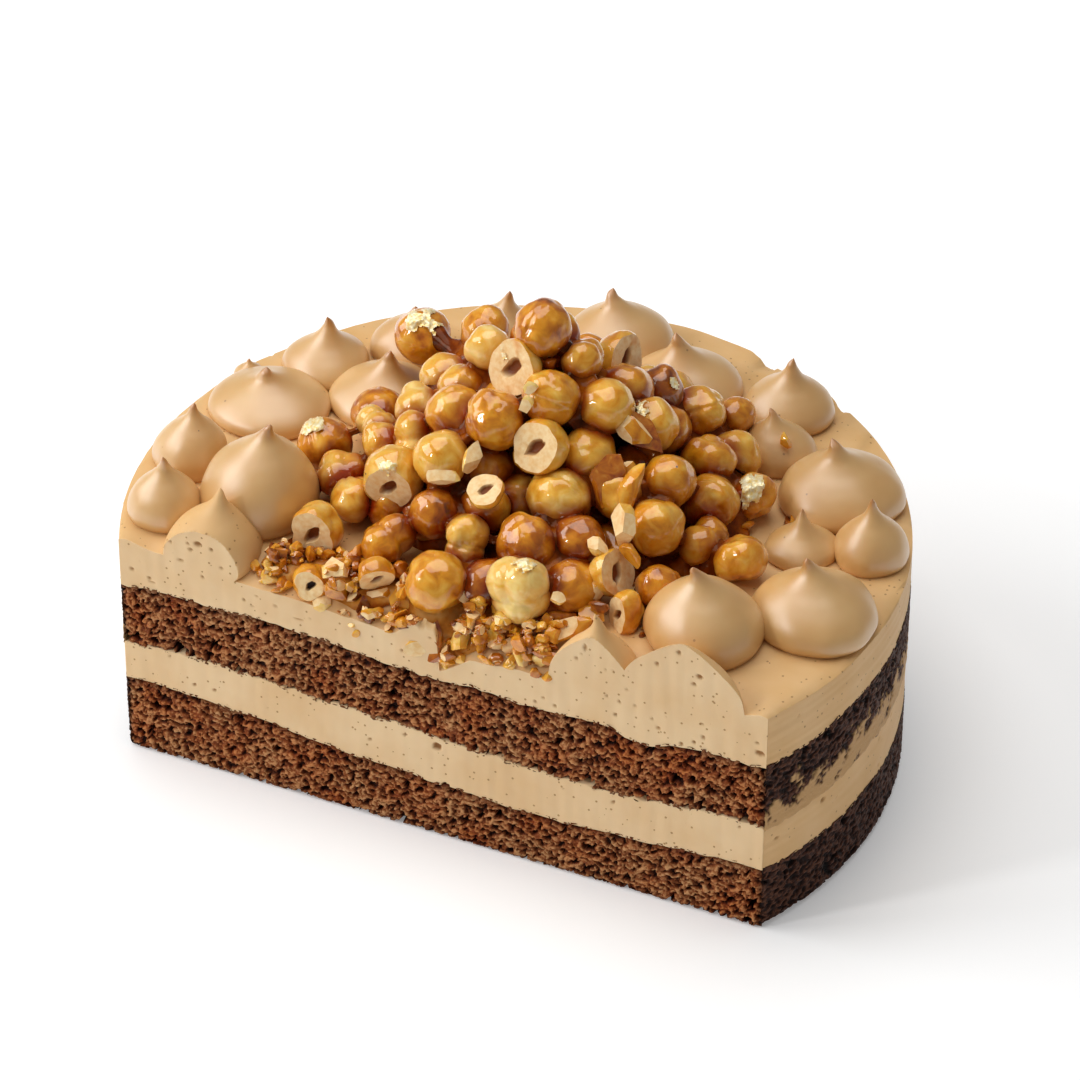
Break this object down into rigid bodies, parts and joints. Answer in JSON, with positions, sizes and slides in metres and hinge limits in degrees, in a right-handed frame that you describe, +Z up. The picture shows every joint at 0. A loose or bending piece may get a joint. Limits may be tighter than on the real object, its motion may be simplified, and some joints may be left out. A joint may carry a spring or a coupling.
{
  "type": "coffee hazelnut mousse cake",
  "caption": "Round layered mousse cake cut through off centre: dark sponge and coffee mousse in layers, piped dollops round the rim and a heap of glazed hazelnuts.",
  "frame": {"origin": "middle of the box's underside, on the surface that the cake stands on", "axes": "+Z up, X along the knife cut, -Y out of the cut face"},
  "size_m": [0.18, 0.133, 0.1094],
  "materials": {
    "chocolate_sponge": "matt open crumb",
    "coffee_mousse": "matt aerated mousse",
    "coffee_cream": "satin piped cream",
    "caramel_hazelnut": "glossy caramel glaze"
  },
  "bodies": {
    "root": {"sponge_bottom": "chocolate_sponge", "mousse_lower": "coffee_mousse", "sponge_upper": "chocolate_sponge", "mousse_top": "coffee_mousse", "dollop_01": "coffee_cream", "dollop_02": "coffee_cream", "dollop_03": "coffee_cream", "dollop_04": "coffee_cream", "dollop_05": "coffee_cream", "dollop_06": "coffee_cream", "dollop_07": "coffee_cream", "dollop_08": "coffee_cream", "dollop_09": "coffee_cream", "dollop_10": "coffee_cream", "dollop_11": "coffee_cream", "dollop_12": "coffee_cream", "dollop_13": "coffee_cream", "dollop_14": "coffee_cream", "dollop_15": "coffee_cream", "dollop_16": "coffee_cream", "dollop_17": "coffee_cream", "dollop_18": "coffee_cream", "dollop_19": "coffee_cream", "hazelnut_heap": "caramel_hazelnut"}
  },
  "joints": []
}
